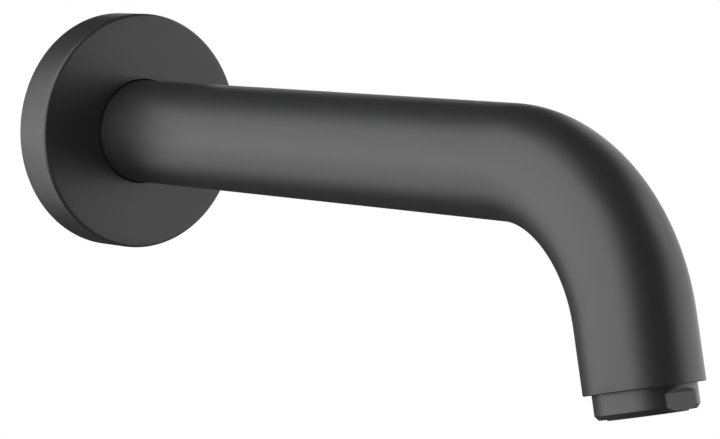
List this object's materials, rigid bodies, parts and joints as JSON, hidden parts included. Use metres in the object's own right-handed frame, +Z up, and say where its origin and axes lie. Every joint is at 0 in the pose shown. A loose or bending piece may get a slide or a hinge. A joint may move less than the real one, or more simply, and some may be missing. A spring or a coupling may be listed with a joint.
{
  "type": "bath spout",
  "caption": "Wall-mounted bath spout: a round tube bent down from a round wall flange, with a screwed-in aerator at its outlet and a threaded supply nipple behind.",
  "frame": {"origin": "on the supply thread's axis, in the plane of the wall that the flange's back lies on", "axes": "+Y along the supply thread into the wall, the spout points along -Y, +Z up"},
  "size_m": [0.0644, 0.2359, 0.0886],
  "materials": {
    "black_coating": "matte black coating on brass",
    "turned_brass": "turned",
    "stainless_steel": "plain",
    "seal_rubber": "matte",
    "soft_foam": "closed-cell foam",
    "fibre_washer": "pressed fibre",
    "black_plastic": "moulded",
    "white_plastic": "moulded"
  },
  "bodies": {
    "root": {"wall_flange": "black_coating", "flange_seal": "soft_foam", "flange_o_ring": "seal_rubber", "wall_nipple": "turned_brass", "nipple_washer": "fibre_washer", "nipple_o_ring_front": "seal_rubber", "nipple_o_ring_rear": "seal_rubber", "inlet_socket": "turned_brass", "grub_screw": "stainless_steel", "spout_tube": "black_coating", "outlet_ring": "turned_brass", "aerator_washer": "seal_rubber", "aerator_housing": "black_coating", "cartridge_sleeve": "black_plastic", "strainer": "white_plastic", "diffuser_plate": "white_plastic", "mixing_chamber": "white_plastic", "upper_flow_screen": "stainless_steel", "screen_spacer": "white_plastic", "lower_flow_screen": "stainless_steel", "outlet_grid": "black_plastic"}
  },
  "joints": []
}
